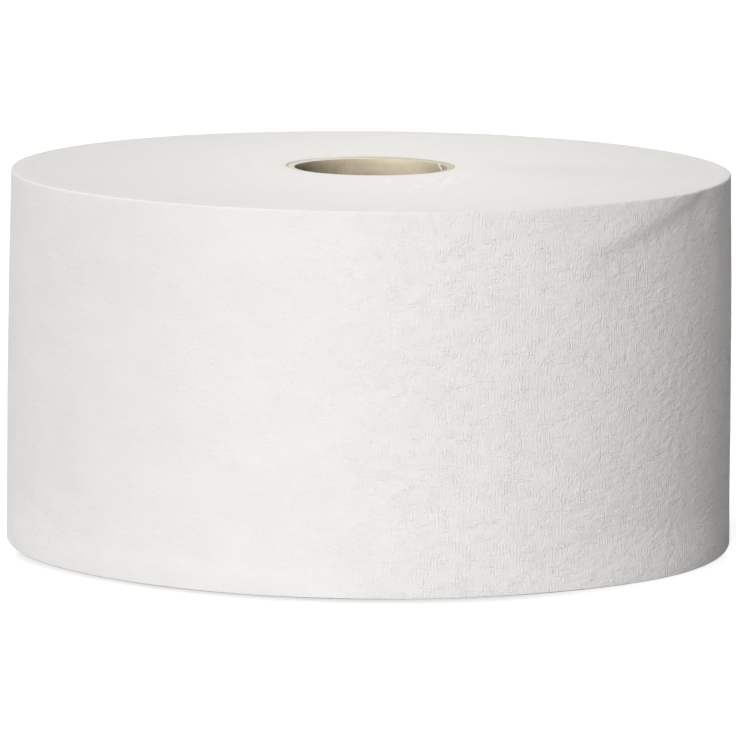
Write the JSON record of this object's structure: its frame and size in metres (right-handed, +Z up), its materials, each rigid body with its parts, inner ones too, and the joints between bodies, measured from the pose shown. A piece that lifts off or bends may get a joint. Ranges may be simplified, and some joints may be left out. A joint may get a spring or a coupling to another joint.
{
  "type": "toilet paper roll",
  "caption": "Wide, low roll of plain white tissue wound on an open cardboard core, standing on one end.",
  "frame": {"origin": "middle of the lower end, on the surface that the roll stands on", "axes": "+Z up along the core; the glued tail of the sheet is at the back, on the +Y side"},
  "size_m": [0.1901, 0.1903, 0.0978],
  "materials": {
    "tissue": "soft matte creped tissue",
    "core_board": "matte grey-brown board"
  },
  "bodies": {
    "root": {"paper_winding": "tissue", "cardboard_core": "core_board"}
  },
  "joints": []
}
